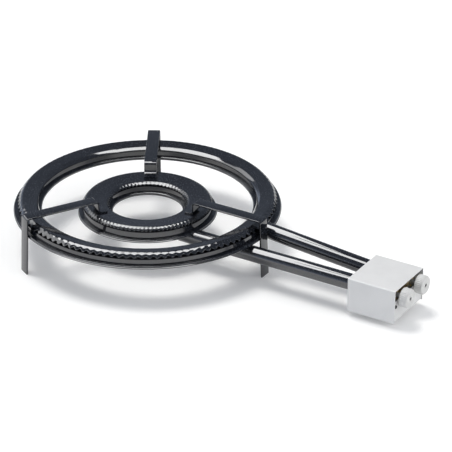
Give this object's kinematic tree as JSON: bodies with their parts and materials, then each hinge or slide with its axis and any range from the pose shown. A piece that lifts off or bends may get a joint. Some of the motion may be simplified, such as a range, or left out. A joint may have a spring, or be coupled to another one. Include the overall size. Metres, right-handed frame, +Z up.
{
  "type": "paella burner",
  "caption": "Low gas burner with concentric corrugated flame rings on bent strip legs, mixing tubes and a control box with push-and-turn taps.",
  "frame": {"origin": "the rings' vertical axis where it meets the floor", "axes": "+Z up, +X from the rings along the mixing tubes to the knobs"},
  "size_m": [0.657, 0.4, 0.0905],
  "materials": {
    "black_enamel": "gloss",
    "white_sheet": "satin",
    "grey_plastic": "satin",
    "brass": "machined",
    "steel": "zinc plated",
    "copper": "soft copper"
  },
  "bodies": {
    "burner": {"outer_ring_cap": "black_enamel", "outer_ring_pan": "black_enamel", "inner_ring_cap": "black_enamel", "inner_ring_pan": "black_enamel", "leg_tube_side": "black_enamel", "leg_far_side": "black_enamel", "leg_near_side": "black_enamel", "outer_ring_tube": "black_enamel", "inner_ring_tube": "black_enamel", "control_box_frame": "white_sheet", "control_box_cover": "white_sheet", "cover_screws": "steel", "gas_manifold": "brass", "manifold_spacers": "steel", "manifold_bolts": "steel", "hose_nipple": "brass", "nipple_washer": "copper", "inner_tap_body": "brass", "inner_tap_seal": "copper", "inner_tap_bonnet": "brass", "inner_bonnet_screws": "steel", "inner_injector": "brass", "outer_tap_body": "brass", "outer_tap_seal": "copper", "outer_tap_bonnet": "brass", "outer_bonnet_screws": "steel", "outer_injector": "brass"},
    "inner_plug": {"inner_tap_plug": "brass", "inner_tap_spring": "steel"},
    "inner_control": {"inner_tap_spindle": "steel", "inner_knob": "grey_plastic", "inner_knob_screw": "steel"},
    "outer_plug": {"outer_tap_plug": "brass", "outer_tap_spring": "steel"},
    "outer_control": {"outer_tap_spindle": "steel", "outer_knob": "grey_plastic", "outer_knob_screw": "steel"}
  },
  "joints": [
    {"name": "inner_tap_turn", "type": "hinge", "parent": "burner", "child": "inner_plug", "pos_m": [0.412, -0.023, 0.044], "axis": [1, 0, 0], "range_deg": [0, 180]},
    {"name": "inner_tap_push", "type": "slide", "parent": "inner_plug", "child": "inner_control", "axis": [-1, 0, 0], "range_m": [0, 0.003], "stiffness_N_per_m": 1500, "springref_m": -0.002, "deforming": ["inner_tap_spring"]},
    {"name": "outer_tap_turn", "type": "hinge", "parent": "burner", "child": "outer_plug", "pos_m": [0.412, 0.023, 0.044], "axis": [1, 0, 0], "range_deg": [0, 180]},
    {"name": "outer_tap_push", "type": "slide", "parent": "outer_plug", "child": "outer_control", "axis": [-1, 0, 0], "range_m": [0, 0.003], "stiffness_N_per_m": 1500, "springref_m": -0.002, "deforming": ["outer_tap_spring"]}
  ]
}
